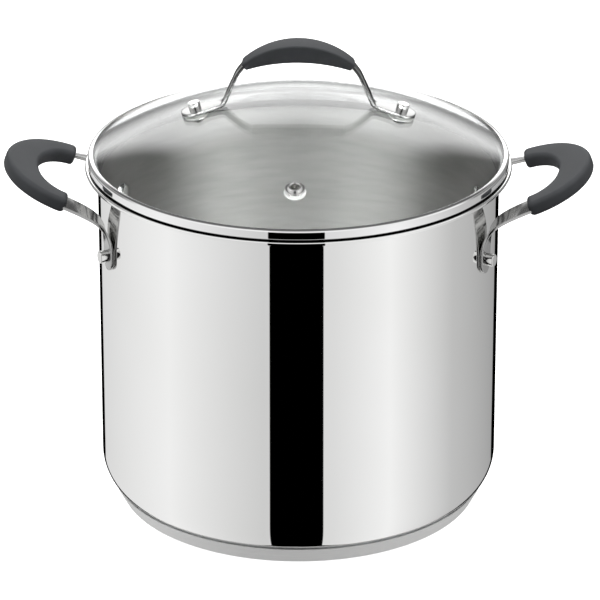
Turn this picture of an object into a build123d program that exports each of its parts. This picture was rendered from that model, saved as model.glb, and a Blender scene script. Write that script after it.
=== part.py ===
from build123d import *
from math import asin, atan, atan2, cos, degrees, radians, sin, sqrt, tan
import os

# Water bath canner: a tall stainless stockpot with a capsule base, two riveted side handles,
# a domed glass lid and a flat wire jar rack.  Millimetres, +Z up, the origin at the centre of
# the base on the surface it stands on.  X runs through the two side handles.

# ---- pot body ----
POT_INNER_RADIUS = 130.0
SHEET = 1.0
FLOOR_TOP = 7.2
CORNER_RADIUS = 24.0            # inside radius between floor and wall
FLARE_START_Z = 226.0
RIM_TOP_Z = 233.2
RIM_OUTER_RADIUS = 139.2
RIM_HEM_RADIUS = 1.3            # half the thickness of the hemmed rim edge

# ---- capsule base ----
CAP_SHEET = 1.0
CAP_FOOT_RADIUS = 117.8         # where the sloping side would meet the floor plane
CAP_FOOT_ROUNDING = 4.0
CAP_TOP_RADIUS = 124.2
CAP_TOP_Z = 12.0
SEAT_GAP = 0.05                 # running gap between pieces that are bonded or clamped

# ---- lid glass and rim band ----
DOME_RADIUS = 275.0
DOME_APEX_Z = 275.0
GLASS_THICKNESS = 4.0
GLASS_EDGE_RADIUS = 136.0
GLASS_EDGE_ROUNDING = 1.0
BAND_SHEET = 0.8
BAND_OUTER_RADIUS = 137.3
BAND_CORNER_RADIUS = 2.3        # outside radius where the band turns in under the glass
BAND_LIP_RADIUS = 133.9
BAND_BOTTOM_Z = RIM_TOP_Z + 0.3
SKIRT_TOP_RADIUS = 130.1        # inner face of the skirt at the flange
SKIRT_RADIUS = 128.1            # inner face of the skirt below its shoulder
SKIRT_SHOULDER_Z = 229.0
SKIRT_BOTTOM_Z = 224.0

# ---- lid handle ----
LID_RIVET_X = 66.4
LID_STRAP_WIDTH = 10.0
LID_STRAP_THICKNESS = 2.3
LID_PAD_RADIUS = 9.5            # round end of each foot
LID_PAD_TAPER = (3.0, 15.0)     # where the pad starts and stops narrowing to the strap's width
LID_PAD_SHOULDER = 9.0          # half width of the pad where the taper starts
LID_FOOT_WASHER = 0.5
LID_FOOT_WASHER_RADIUS = 8.3
LID_RIVET_HEAD_RADIUS = 4.05
LID_RIVET_HEAD = 4.4
LID_SHANK_RADIUS = 2.5
LID_SLEEVE_RADIUS = 4.0         # silicone sleeve that lines each hole in the glass
LID_GASKET = 1.0
LID_GASKET_RADIUS = 8.0
LID_WASHER = 1.0
LID_WASHER_RADIUS = 7.0
LID_TAIL_HEAD = 2.0
LID_TAIL_HEAD_RADIUS = 4.5
LID_FOOT_RUN = 18.7             # from the rivet to the corner between foot and leg
LEG_TOP = (39.7, 294.4)         # x, z where the leg starts to lean inward
GRIP_ENTRY = (33.3, 302.9)      # inside the grip end
STRAP_CROWN = (17.0, 309.3)     # inside the grip, below its crown
LID_GRIP_END_LOW = (34.3, 297.9)
LID_GRIP_END_HIGH = (36.5, 302.3)
LID_GRIP_CROWN_Z = 315.9
LID_GRIP_BELLY_Z = 304.3
LID_GRIP_WIDTH = 17.6
LID_GRIP_END_WIDTH = 12.4
LID_GRIP_ROUNDING = 1.2

# ---- steam vent ----
VENT_Y = -103.0
VENT_HOLE_RADIUS = 3.0
VENT_TUBE_RADIUS = 3.7
VENT_FLANGE_RADIUS = 6.5
VENT_FLANGE = 1.0
VENT_COLLAR_RADIUS = 4.7
VENT_COLLAR_TOP = 2.7
VENT_SLEEVE_RADIUS = 4.8
VENT_GASKET = 0.9
VENT_GASKET_RADIUS = 7.0
VENT_WASHER = 0.8
VENT_WASHER_RADIUS = 6.5
VENT_ROLL = 0.8                 # height of the rolled end under the washer
VENT_ROLL_RADIUS = 5.0

# ---- side handles (the left one is the mirror image) ----
FOOT_ANGLE = 23.2               # degrees from the X axis to each foot
FOOT_RIVET_Z = 187.0
FOOT_END_Z = 177.5
FOOT_TOP_Z = 192.0
STRAP_THICKNESS = 2.2
STRAP_FOOT_WIDTH = 13.5
STRAP_GRIP_WIDTH = 12.4
LEG_STATIONS = 5
LEG_RISE = 20.5                 # straight pull of the leg's curve above the foot
LEG_REACH = 24.0                # straight pull of the leg's curve before the grip
LEG_LEAN = 1.5                  # how far the leg has left the wall over LEG_RISE
LEG_TWIST = -16.0               # degrees the strap is turned about its path where it meets the grip
GRIP_START_X = 149.0
GRIP_START_Z = 219.2            # mid height of the grip at GRIP_START_X
GRIP_SLOPE = atan(0.37)         # the grip rises outward
GRIP_THICKNESS = 10.0
GRIP_OUTER = (42.5, 49.2)       # half axes of the outer edge, along X and Y
GRIP_INNER = (21.5, 34.0)
GRIP_CORE = (32.0, 41.6)        # half axes of the strap inside the grip
CORE_START = 80                 # degrees round the ellipse where the leg joins the loop
GRIP_ROUNDING = 3.2
CORE_STATIONS = 6
RIVET_SHANK_RADIUS = 3.2
RIVET_HEAD_RADIUS = 4.15
RIVET_HEAD = 5.6
RIVET_TAIL_RADIUS = 9.5
RIVET_TAIL = 4.6
RIVET_TAIL_ROUNDING = 3.9
HOLE_GAP = 0.05                 # radial gap round every rivet shank

# ---- jar rack ----
RACK_RING_RADIUS = 105.0
RACK_RING_WIRE = 5.0
RACK_RING_Z = 24.0
RACK_WIRE = 4.0
RACK_WIRE_PITCH = 24.0
RACK_WIRE_PAIRS = 4             # wires each side of the middle one
RACK_BAR_X = 48.0
RACK_LEG_COUNT = 4
RACK_LEG_SPAN = 34.0
RACK_LEG_BEND = 5.0

DOME_CENTER_Z = DOME_APEX_Z - DOME_RADIUS
POT_OUTER_RADIUS = POT_INNER_RADIUS + SHEET
INNER_DOME_RADIUS = DOME_RADIUS - GLASS_THICKNESS


def arc_by_angles(center, radius, start, end):
    """Arc in the r-z plane, angles in degrees from +r."""
    def at(angle):
        return (center[0] + radius * cos(radians(angle)), center[1] + radius * sin(radians(angle)))
    return ThreePointArc(at(start), at((start + end) / 2), at(end))


def lathe(*edges):
    """Turn a closed r-z outline about the Z axis."""
    return revolve(Plane.XZ * make_face(list(edges)), Axis.Z)


def chain(*points):
    """Straight edges through the points."""
    return [Line(a, b) for a, b in zip(points, points[1:])]


def dome_height(radius, sphere=DOME_RADIUS):
    """Height of the dome surface at a distance from the axis."""
    return DOME_CENTER_Z + sqrt(sphere**2 - radius**2)


def dome_frame(x, y):
    """Frame on top of the glass, its z straight out of the dome, its x pointing up the slope."""
    foot = Vector(x, y, dome_height(sqrt(x * x + y * y)))
    normal = (foot - Vector(0, 0, DOME_CENTER_Z)).normalized()
    inward = Vector(-x, -y, 0).normalized()
    along = (inward - normal * inward.dot(normal)).normalized()
    return Plane(origin=foot, x_dir=along, z_dir=normal)


def disc(frame, radius, bottom, top, hole=0.0):
    """Flat disc or washer in a frame, between two heights along the frame's z."""
    height = top - bottom
    body = Pos(0, 0, bottom + height / 2) * Cylinder(radius, height)
    if hole:
        body -= Pos(0, 0, bottom + height / 2) * Cylinder(hole, height + 2)
    return frame * body


def button(frame, radius, bottom, top, rounding, outward=1):
    """Disc with its free edge rounded: the top edge, or the bottom one if outward is -1."""
    height = top - bottom
    body = Pos(0, 0, bottom + height / 2) * Cylinder(radius, height)
    edge = body.edges().sort_by(Axis.Z)[-1 if outward > 0 else 0]
    return frame * fillet(edge, rounding)


# ---------------------------------------------------------------- pot


def shell_outer_edges(gap=0.0):
    """Outside of the floor, corner and wall, from the axis to the flare, pushed out by a gap."""
    center = (POT_INNER_RADIUS - CORNER_RADIUS, FLOOR_TOP + CORNER_RADIUS)
    reach = CORNER_RADIUS + SHEET + gap
    under = FLOOR_TOP - SHEET - gap
    return [
        Line((0, under), (center[0], under)),
        arc_by_angles(center, reach, -90, 0),
        Line((center[0] + reach, center[1]), (center[0] + reach, FLARE_START_Z)),
    ]


def make_pot_shell():
    """One deep-drawn sheet: floor, rounded corner, straight wall, flared and hemmed rim."""
    corner = (POT_INNER_RADIUS - CORNER_RADIUS, FLOOR_TOP + CORNER_RADIUS)
    flare_radius = RIM_TOP_Z - FLARE_START_Z
    flare = (POT_INNER_RADIUS + flare_radius, FLARE_START_Z)
    hem = (RIM_OUTER_RADIUS - RIM_HEM_RADIUS, RIM_TOP_Z - RIM_HEM_RADIUS)
    root_angle = 130.0
    root = (
        flare[0] + (flare_radius - SHEET) * cos(radians(root_angle)),
        flare[1] + (flare_radius - SHEET) * sin(radians(root_angle)),
    )
    inside = [
        Line((0, FLOOR_TOP), (corner[0], FLOOR_TOP)),
        arc_by_angles(corner, CORNER_RADIUS, -90, 0),
        Line((POT_INNER_RADIUS, corner[1]), (POT_INNER_RADIUS, FLARE_START_Z)),
        arc_by_angles(flare, flare_radius, 180, 90),
        Line((flare[0], RIM_TOP_Z), (hem[0], RIM_TOP_Z)),
        arc_by_angles(hem, RIM_HEM_RADIUS, 90, -90),
        Line((hem[0], hem[1] - RIM_HEM_RADIUS), root),
        arc_by_angles(flare, flare_radius - SHEET, root_angle, 180),
    ]
    axis = Line((0, FLOOR_TOP), (0, FLOOR_TOP - SHEET))
    shell = lathe(*inside, *shell_outer_edges(), axis)
    for side in (1, -1):
        for turn in (1, -1):
            frame = rivet_frame(side, turn)
            shell -= disc(frame, RIVET_SHANK_RADIUS + HOLE_GAP, -4, 4)
    return shell


def base_outline(inset):
    """Bottom and sloping side of the capsule base, moved inward by the inset."""
    tilt = atan2(CAP_TOP_RADIUS - CAP_FOOT_RADIUS, CAP_TOP_Z)
    foot = CAP_FOOT_RADIUS + inset * tan(tilt) - inset / cos(tilt)
    top = CAP_TOP_RADIUS - inset / cos(tilt)
    rounding = max(CAP_FOOT_ROUNDING - inset, 1.0)
    return FilletPolyline((0, inset), (foot, inset), (top, CAP_TOP_Z), radius=rounding), top


def base_solid(inset):
    """Everything inside the base outline, up to its top edge."""
    outline, top = base_outline(inset)
    return lathe(*outline.edges(), Line((top, CAP_TOP_Z), (0, CAP_TOP_Z)), Line((0, CAP_TOP_Z), (0, inset)))


def shell_envelope():
    """The space the pot shell takes up, a running gap larger all round."""
    top = Line((POT_OUTER_RADIUS + SEAT_GAP, FLARE_START_Z), (0, FLARE_START_Z))
    axis = Line((0, FLARE_START_Z), (0, FLOOR_TOP - SHEET - SEAT_GAP))
    return lathe(*shell_outer_edges(SEAT_GAP), top, axis)


def make_base_cap():
    """Stainless cup that closes the underside."""
    return base_solid(0) - base_solid(CAP_SHEET) - shell_envelope()


def make_base_core_disc():
    """Aluminium heat-spreading disc sealed between the cap and the pot."""
    return base_solid(CAP_SHEET + SEAT_GAP) - shell_envelope()


# ---------------------------------------------------------------- side handles


def rivet_frame(side, turn):
    """Frame on the pot wall at a handle foot, its z straight out of the wall, its y upward."""
    angle = radians(FOOT_ANGLE) * turn
    out = Vector(side * cos(angle), sin(angle), 0)
    along = Vector(0, 0, 1).cross(out)
    origin = out * POT_OUTER_RADIUS + Vector(0, 0, FOOT_RIVET_Z)
    return Plane(origin=origin, x_dir=along, z_dir=out)


def grip_plane():
    """Sloping mid plane of the right grip."""
    return Plane(
        origin=(GRIP_START_X, 0, GRIP_START_Z),
        x_dir=(cos(GRIP_SLOPE), 0, sin(GRIP_SLOPE)),
        z_dir=(-sin(GRIP_SLOPE), 0, cos(GRIP_SLOPE)),
    )


def strap_section(center, tangent, across, width):
    """Rectangle across the strap's path."""
    tangent = tangent.normalized()
    across = (across - tangent * across.dot(tangent)).normalized()
    return Plane(origin=center, x_dir=across, z_dir=tangent) * Rectangle(width, STRAP_THICKNESS)


def leg_sections():
    """Sections from the foot up to the start of the elliptical part inside the grip."""
    frame = rivet_frame(1, 1)
    out = frame.z_dir
    start = out * (POT_OUTER_RADIUS + SEAT_GAP + STRAP_THICKNESS / 2) + Vector(0, 0, FOOT_TOP_Z)
    end, end_tangent, end_across = core_station(CORE_START)
    controls = [start, start + Vector(0, 0, LEG_RISE) + out * LEG_LEAN, end - end_tangent * LEG_REACH, end]
    sections = []
    for i in range(LEG_STATIONS):
        t = i / LEG_STATIONS
        s = 1 - t
        point = (controls[0] * s**3 + controls[1] * (3 * s * s * t)
                 + controls[2] * (3 * s * t * t) + controls[3] * t**3)
        tangent = ((controls[1] - controls[0]) * (s * s) + (controls[2] - controls[1]) * (2 * s * t)
                   + (controls[3] - controls[2]) * (t * t))
        across = frame.x_dir * s + end_across * t
        width = STRAP_FOOT_WIDTH * s + STRAP_GRIP_WIDTH * t
        sections.append(strap_section(point, tangent, across, width))
    return sections


def core_station(phi):
    """Point, direction and width direction of the strap inside the grip, phi in degrees."""
    plane = grip_plane()
    angle = radians(phi)
    local = (GRIP_CORE[0] * cos(angle) / cos(GRIP_SLOPE), GRIP_CORE[1] * sin(angle))
    run = (GRIP_CORE[0] * sin(angle) / cos(GRIP_SLOPE), -GRIP_CORE[1] * cos(angle))
    point = plane.from_local_coords(Vector(*local, 0))
    tangent = (plane.x_dir * run[0] + plane.y_dir * run[1]).normalized()
    flat = plane.z_dir.cross(tangent)
    twist = radians(LEG_TWIST * phi / CORE_START)
    across = flat * cos(twist) + tangent.cross(flat) * sin(twist)
    return point, tangent, across


def make_handle_strap():
    """Right strap: two flat riveted feet and one loop that runs through the grip."""
    sections = leg_sections()
    for i in range(CORE_STATIONS + 1):
        point, tangent, across = core_station(CORE_START * (1 - i / CORE_STATIONS))
        sections.append(strap_section(point, tangent, across, STRAP_GRIP_WIDTH))
    half = loft(sections)
    frame = rivet_frame(1, 1)
    radius = STRAP_FOOT_WIDTH / 2
    drop = FOOT_RIVET_Z - FOOT_END_Z - radius
    height = FOOT_TOP_Z - FOOT_RIVET_Z + drop
    plate = Pos(0, height / 2 - drop, 0) * Rectangle(STRAP_FOOT_WIDTH, height)
    plate += Pos(0, -drop, 0) * Circle(radius)
    foot = extrude(Plane(frame.origin + frame.z_dir * SEAT_GAP, frame.x_dir, frame.z_dir) * plate,
                   STRAP_THICKNESS)
    half = half + foot
    half -= disc(frame, RIVET_SHANK_RADIUS + HOLE_GAP, -2, 8)
    return half + mirror(half, Plane.XZ)


def make_handle_grip(strap):
    """Right grip: a rounded half ring moulded over the loop of the strap."""
    stretch = 1 / cos(GRIP_SLOPE)
    outline = Ellipse(GRIP_OUTER[0] * stretch, GRIP_OUTER[1])
    outline -= Ellipse(GRIP_INNER[0] * stretch, GRIP_INNER[1])
    outline &= Pos(50, 0) * Rectangle(100, 200)
    body = extrude(grip_plane().offset(-GRIP_THICKNESS / 2) * outline, GRIP_THICKNESS)
    body = fillet(body.edges(), GRIP_ROUNDING)
    return body - strap


def make_handle_rivets(side):
    """Two solid rivets, round-headed inside the pot and with a tall flat head outside."""
    face = SEAT_GAP + STRAP_THICKNESS
    rivets = []
    for turn in (1, -1):
        frame = rivet_frame(side, turn)
        inner = -SHEET - RIVET_TAIL_RADIUS**2 / (2 * POT_INNER_RADIUS) - SEAT_GAP
        rivet = disc(frame, RIVET_SHANK_RADIUS, inner - 0.5, face + 0.5)
        rivet += button(frame, RIVET_HEAD_RADIUS, face + SEAT_GAP, face + RIVET_HEAD, 0.6)
        rivet += button(frame, RIVET_TAIL_RADIUS, inner - RIVET_TAIL, inner, RIVET_TAIL_ROUNDING, outward=-1)
        rivets.append(rivet)
    return rivets


# ---------------------------------------------------------------- lid


def lid_rivet_frames():
    return [dome_frame(side * LID_RIVET_X, 0) for side in (-1, 1)]


def make_lid_glass():
    """Tempered glass dome with two rivet holes and one vent hole."""
    top_edge = dome_height(GLASS_EDGE_RADIUS)
    low_edge = dome_height(GLASS_EDGE_RADIUS, INNER_DOME_RADIUS)
    inner_apex = DOME_CENTER_Z + INNER_DOME_RADIUS
    rim_angle = degrees(asin(GLASS_EDGE_RADIUS / DOME_RADIUS))
    low_angle = degrees(asin(GLASS_EDGE_RADIUS / INNER_DOME_RADIUS))
    center = (0, DOME_CENTER_Z)
    glass = lathe(
        arc_by_angles(center, DOME_RADIUS, 90, 90 - rim_angle),
        Line((GLASS_EDGE_RADIUS, top_edge), (GLASS_EDGE_RADIUS, low_edge)),
        arc_by_angles(center, INNER_DOME_RADIUS, 90 - low_angle, 90),
        Line((0, inner_apex), (0, DOME_APEX_Z)),
    )
    glass = fillet(glass.edges().filter_by(GeomType.CIRCLE), GLASS_EDGE_ROUNDING)
    for frame in lid_rivet_frames():
        glass -= disc(frame, LID_SLEEVE_RADIUS + HOLE_GAP, -10, 10)
    return glass - disc(dome_frame(0, VENT_Y), VENT_SLEEVE_RADIUS + HOLE_GAP, -10, 10)


def make_lid_rim_band():
    """Rolled steel band: a lip over the glass edge, a flange on the pot rim, a skirt inside it."""
    top = BAND_BOTTOM_Z + BAND_SHEET
    wall = BAND_OUTER_RADIUS - BAND_SHEET
    corner = (BAND_OUTER_RADIUS - BAND_CORNER_RADIUS, BAND_BOTTOM_Z + BAND_CORNER_RADIUS)
    shoulder_z = dome_height(GLASS_EDGE_RADIUS) - 1.6
    lip_under = dome_height(BAND_LIP_RADIUS) + SEAT_GAP
    lip_top = lip_under + BAND_SHEET * 0.8
    outside = [
        ThreePointArc(
            (BAND_LIP_RADIUS, lip_top),
            (BAND_LIP_RADIUS + 2.45, dome_height(GLASS_EDGE_RADIUS) + 0.62),
            (BAND_OUTER_RADIUS, shoulder_z),
        ),
        Line((BAND_OUTER_RADIUS, shoulder_z), (BAND_OUTER_RADIUS, corner[1])),
        arc_by_angles(corner, BAND_CORNER_RADIUS, 0, -90),
    ]
    skirt = chain(
        (corner[0], BAND_BOTTOM_Z),
        (SKIRT_TOP_RADIUS + BAND_SHEET, BAND_BOTTOM_Z),
        (SKIRT_RADIUS + BAND_SHEET, SKIRT_SHOULDER_Z),
        (SKIRT_RADIUS + BAND_SHEET, SKIRT_BOTTOM_Z),
        (SKIRT_RADIUS, SKIRT_BOTTOM_Z),
        (SKIRT_RADIUS, SKIRT_SHOULDER_Z),
        (SKIRT_TOP_RADIUS, top),
        (corner[0], top),
    )
    inside = [
        arc_by_angles(corner, BAND_CORNER_RADIUS - BAND_SHEET, -90, 0),
        Line((wall, corner[1]), (wall, shoulder_z)),
        ThreePointArc(
            (wall, shoulder_z),
            (BAND_LIP_RADIUS + 1.95, dome_height(GLASS_EDGE_RADIUS) + 0.1),
            (BAND_LIP_RADIUS, lip_under),
        ),
    ]
    lip_end = Line((BAND_LIP_RADIUS, lip_under), (BAND_LIP_RADIUS, lip_top))
    return lathe(*outside, *skirt, *inside, lip_end)


def foot_base():
    """Height of the underside of the lid handle's foot above the glass."""
    return SEAT_GAP + LID_FOOT_WASHER + SEAT_GAP


def lid_pad(frame):
    """Round end of a foot, narrowing up the slope to the width of the strap."""
    low = foot_base()
    taper_start, taper_end = LID_PAD_TAPER
    narrow = LID_STRAP_WIDTH / 2
    taper = make_face(Polyline(
        (taper_start, -LID_PAD_SHOULDER), (taper_end, -narrow),
        (taper_end, narrow), (taper_start, LID_PAD_SHOULDER), close=True,
    ))
    pad = Pos(0, 0, low) * extrude(taper, LID_STRAP_THICKNESS)
    return frame * pad + disc(frame, LID_PAD_RADIUS, low, low + LID_STRAP_THICKNESS)


def make_lid_handle_strap():
    """Bent flat strap with round feet that follow the slope of the dome."""
    frame = lid_rivet_frames()[1]
    foot_center = frame.origin + frame.z_dir * (foot_base() + LID_STRAP_THICKNESS / 2)
    bend = foot_center + frame.x_dir * LID_FOOT_RUN
    half = [(foot_center.X, foot_center.Z), (bend.X, bend.Z), LEG_TOP, GRIP_ENTRY, STRAP_CROWN]
    points = half + [(-x, z) for x, z in reversed(half)]
    radii = [5.0, 24.0, 16.0, 28.0]
    path = Plane.XZ * FilletPolyline(*points, radius=radii + radii[::-1])
    section = Plane(origin=path @ 0, x_dir=(0, 1, 0), z_dir=path % 0)
    strap = sweep(section * Rectangle(LID_STRAP_WIDTH, LID_STRAP_THICKNESS), path)
    for frame in lid_rivet_frames():
        strap += lid_pad(frame)
        strap -= disc(frame, LID_SHANK_RADIUS + HOLE_GAP, -2, 9)
    return strap


def bow(end, middle):
    """Arc across the handle, the same at both ends."""
    return ThreePointArc((-end[0], end[1]), (0, middle), end)


def make_lid_handle_grip(strap):
    """Crescent grip, thick and wide in the middle, moulded over the top of the strap."""
    (low_x, low_z), (high_x, high_z) = LID_GRIP_END_LOW, LID_GRIP_END_HIGH
    side = make_face([
        bow(LID_GRIP_END_HIGH, LID_GRIP_CROWN_Z),
        bow(LID_GRIP_END_LOW, LID_GRIP_BELLY_Z),
        Line((-low_x, low_z), (-high_x, high_z)),
        Line((low_x, low_z), (high_x, high_z)),
    ])
    body = extrude(Plane.XZ * side, LID_GRIP_WIDTH, both=True)
    reach = high_x + 1
    edge = LID_GRIP_END_WIDTH / 2
    plan = make_face([
        bow((reach, edge), LID_GRIP_WIDTH / 2),
        bow((reach, -edge), -LID_GRIP_WIDTH / 2),
        Line((-reach, -edge), (-reach, edge)),
        Line((reach, -edge), (reach, edge)),
    ])
    body &= extrude(Plane.XY.offset(low_z - 5) * plan, 40)
    body = fillet(body.edges(), LID_GRIP_ROUNDING)
    return body - strap


def make_lid_handle_rivets():
    """Rivets through foot, washer, glass, gasket and lower washer."""
    head_seat = foot_base() + LID_STRAP_THICKNESS + SEAT_GAP
    tail_seat = under_glass(LID_GASKET_RADIUS) - LID_GASKET - LID_WASHER - 2 * SEAT_GAP
    rivets = []
    for frame in lid_rivet_frames():
        rivet = disc(frame, LID_SHANK_RADIUS, tail_seat - 0.5, head_seat + 0.5)
        rivet += button(frame, LID_RIVET_HEAD_RADIUS, head_seat, head_seat + LID_RIVET_HEAD, 0.5)
        rivet += button(frame, LID_TAIL_HEAD_RADIUS, tail_seat - LID_TAIL_HEAD, tail_seat, 1.4, outward=-1)
        rivets.append(rivet)
    return rivets


def make_lid_foot_washers():
    """Steel washers between the handle feet and the glass."""
    low = SEAT_GAP
    return [disc(frame, LID_FOOT_WASHER_RADIUS, low, low + LID_FOOT_WASHER, LID_SHANK_RADIUS + HOLE_GAP)
            for frame in lid_rivet_frames()]


def under_glass(radius):
    """Height, below the outer surface, where a flat washer clears the hollow side of the dome."""
    return -GLASS_THICKNESS - radius**2 / (2 * INNER_DOME_RADIUS) - SEAT_GAP


def sleeved_gasket(frame, radius, thickness, sleeve, hole):
    """Silicone washer under the glass with a sleeve that lines the hole."""
    high = under_glass(radius)
    flange = disc(frame, radius, high - thickness, high)
    body = flange + disc(frame, sleeve, high - thickness, -SEAT_GAP)
    return body - disc(frame, hole, high - thickness - 1, 1)


def make_lid_under_gaskets():
    return [sleeved_gasket(frame, LID_GASKET_RADIUS, LID_GASKET, LID_SLEEVE_RADIUS, LID_SHANK_RADIUS + HOLE_GAP)
            for frame in lid_rivet_frames()]


def make_lid_under_washers():
    high = under_glass(LID_GASKET_RADIUS) - LID_GASKET - SEAT_GAP
    return [disc(frame, LID_WASHER_RADIUS, high - LID_WASHER, high, LID_SHANK_RADIUS + HOLE_GAP)
            for frame in lid_rivet_frames()]


def make_vent_eyelet():
    """Tubular eyelet that lets the steam out, rolled over under its washer."""
    frame = dome_frame(0, VENT_Y)
    roll_top = under_glass(VENT_GASKET_RADIUS) - VENT_GASKET - VENT_WASHER - 2 * SEAT_GAP
    eyelet = disc(frame, VENT_TUBE_RADIUS, roll_top - VENT_ROLL, 1)
    eyelet += button(frame, VENT_FLANGE_RADIUS, SEAT_GAP, SEAT_GAP + VENT_FLANGE, 0.5)
    eyelet += button(frame, VENT_COLLAR_RADIUS, SEAT_GAP, VENT_COLLAR_TOP, 0.8)
    eyelet += button(frame, VENT_ROLL_RADIUS, roll_top - VENT_ROLL, roll_top, 0.4, outward=-1)
    return eyelet - disc(frame, VENT_HOLE_RADIUS, -12, 12)


def make_vent_gasket():
    frame = dome_frame(0, VENT_Y)
    return sleeved_gasket(frame, VENT_GASKET_RADIUS, VENT_GASKET, VENT_SLEEVE_RADIUS, VENT_TUBE_RADIUS + HOLE_GAP)


def make_vent_washer():
    high = under_glass(VENT_GASKET_RADIUS) - VENT_GASKET - SEAT_GAP
    return disc(dome_frame(0, VENT_Y), VENT_WASHER_RADIUS, high - VENT_WASHER, high, VENT_TUBE_RADIUS + HOLE_GAP)


# ---------------------------------------------------------------- jar rack


def make_rack_rim_ring():
    return Pos(0, 0, RACK_RING_Z) * Torus(RACK_RING_RADIUS, RACK_RING_WIRE / 2)


def make_rack_jar_wires():
    """Parallel wires that the jars stand on, laid across the ring and the two bars."""
    height = RACK_RING_Z + (RACK_RING_WIRE + RACK_WIRE) / 2 + SEAT_GAP
    wires = []
    for i in range(-RACK_WIRE_PAIRS, RACK_WIRE_PAIRS + 1):
        y = i * RACK_WIRE_PITCH
        half = sqrt((RACK_RING_RADIUS + 1.5) ** 2 - y * y)
        wires.append(Pos(0, y, height) * Rot(0, 90, 0) * Cylinder(RACK_WIRE / 2, 2 * half))
    return wires


def make_rack_cross_bars():
    """Two bars under the wires, butted against the inside of the ring."""
    ring_gap = Pos(0, 0, RACK_RING_Z) * Torus(RACK_RING_RADIUS, RACK_RING_WIRE / 2 + SEAT_GAP)
    bars = []
    for side in (-1, 1):
        half = sqrt(RACK_RING_RADIUS**2 - RACK_BAR_X**2)
        bar = Pos(side * RACK_BAR_X, 0, RACK_RING_Z) * Rot(90, 0, 0) * Cylinder(RACK_RING_WIRE / 2, 2 * half - 4)
        bars.append(bar - ring_gap)
    return bars


def make_rack_legs():
    """U-shaped wire legs welded under the ring."""
    top = RACK_RING_Z - RACK_RING_WIRE / 2 - SEAT_GAP
    low = FLOOR_TOP + SEAT_GAP + RACK_WIRE / 2
    half = RACK_LEG_SPAN / 2
    path = Plane.XZ * FilletPolyline((-half, top), (-half, low), (half, low), (half, top), radius=RACK_LEG_BEND)
    leg = sweep(Plane(origin=path @ 0, z_dir=path % 0) * Circle(RACK_WIRE / 2), path)
    chord = sqrt(RACK_RING_RADIUS**2 - half**2)
    legs = []
    for i in range(RACK_LEG_COUNT):
        legs.append(Rot(0, 0, 360 / RACK_LEG_COUNT * (i + 0.5)) * Pos(0, chord, 0) * leg)
    return legs


# ---------------------------------------------------------------- write every node


def left_of(part):
    """The left-hand twin of a right-hand part."""
    return mirror(part, Plane.YZ)


os.makedirs("parts", exist_ok=True)
right_strap = make_handle_strap()
right_grip = make_handle_grip(right_strap)
lid_strap = make_lid_handle_strap()
nodes = {
    "pot_shell": make_pot_shell(),
    "base_core_disc": make_base_core_disc(),
    "base_cap": make_base_cap(),
    "right_handle_strap": right_strap,
    "left_handle_strap": left_of(right_strap),
    "right_handle_grip": right_grip,
    "left_handle_grip": left_of(right_grip),
    "right_handle_rivets": make_handle_rivets(1),
    "left_handle_rivets": make_handle_rivets(-1),
    "lid_glass": make_lid_glass(),
    "lid_rim_band": make_lid_rim_band(),
    "lid_handle_strap": lid_strap,
    "lid_handle_grip": make_lid_handle_grip(lid_strap),
    "lid_handle_rivets": make_lid_handle_rivets(),
    "lid_foot_washers": make_lid_foot_washers(),
    "lid_under_gaskets": make_lid_under_gaskets(),
    "lid_under_washers": make_lid_under_washers(),
    "vent_eyelet": make_vent_eyelet(),
    "vent_gasket": make_vent_gasket(),
    "vent_washer": make_vent_washer(),
    "rack_rim_ring": make_rack_rim_ring(),
    "rack_jar_wires": make_rack_jar_wires(),
    "rack_cross_bars": make_rack_cross_bars(),
    "rack_legs": make_rack_legs(),
}
for name, shape in nodes.items():
    solids = [s for piece in (shape if isinstance(shape, list) else [shape]) for s in piece.solids()]
    export_step(Compound(children=solids) if len(solids) > 1 else solids[0], f"parts/{name}.step")
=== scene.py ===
from math import asin, atan, cos, degrees, pi, radians, sin, sqrt, tan

import bmesh
import bpy
from mathutils import Matrix, Vector


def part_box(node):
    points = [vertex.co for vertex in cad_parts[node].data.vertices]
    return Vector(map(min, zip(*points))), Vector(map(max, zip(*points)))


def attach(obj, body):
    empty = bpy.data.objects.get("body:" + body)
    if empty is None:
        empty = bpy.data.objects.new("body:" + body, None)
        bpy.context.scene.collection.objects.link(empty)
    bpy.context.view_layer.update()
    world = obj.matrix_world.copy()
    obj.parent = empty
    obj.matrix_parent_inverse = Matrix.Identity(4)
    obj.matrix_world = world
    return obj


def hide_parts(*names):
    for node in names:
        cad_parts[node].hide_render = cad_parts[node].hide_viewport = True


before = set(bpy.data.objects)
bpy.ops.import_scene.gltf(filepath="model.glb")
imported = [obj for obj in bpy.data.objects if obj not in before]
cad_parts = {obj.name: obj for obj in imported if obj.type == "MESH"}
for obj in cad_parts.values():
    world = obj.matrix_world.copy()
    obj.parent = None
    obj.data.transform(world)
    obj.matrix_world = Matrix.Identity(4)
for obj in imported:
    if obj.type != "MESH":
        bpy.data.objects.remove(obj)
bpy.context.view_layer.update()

# The looks of the water bath canner: smooth fine meshes for every CAD node but the base core disc,
# polished, brushed and satin steel, charcoal grips, a glass dome, and a white studio.  Metres, +Z up.

MM = 0.001

# ---- sizes read from the frame ----
RIM_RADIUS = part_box("pot_shell")[1].x
RIM_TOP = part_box("pot_shell")[1].z
FLOOR_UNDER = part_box("pot_shell")[0].z
CAP_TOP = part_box("base_cap")[1].z
CAP_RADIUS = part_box("base_cap")[1].x
GLASS_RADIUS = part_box("lid_glass")[1].x
DOME_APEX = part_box("lid_glass")[1].z
BAND_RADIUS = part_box("lid_rim_band")[1].x
SKIRT_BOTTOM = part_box("lid_rim_band")[0].z
RACK_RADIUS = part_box("rack_rim_ring")[1].x

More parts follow.
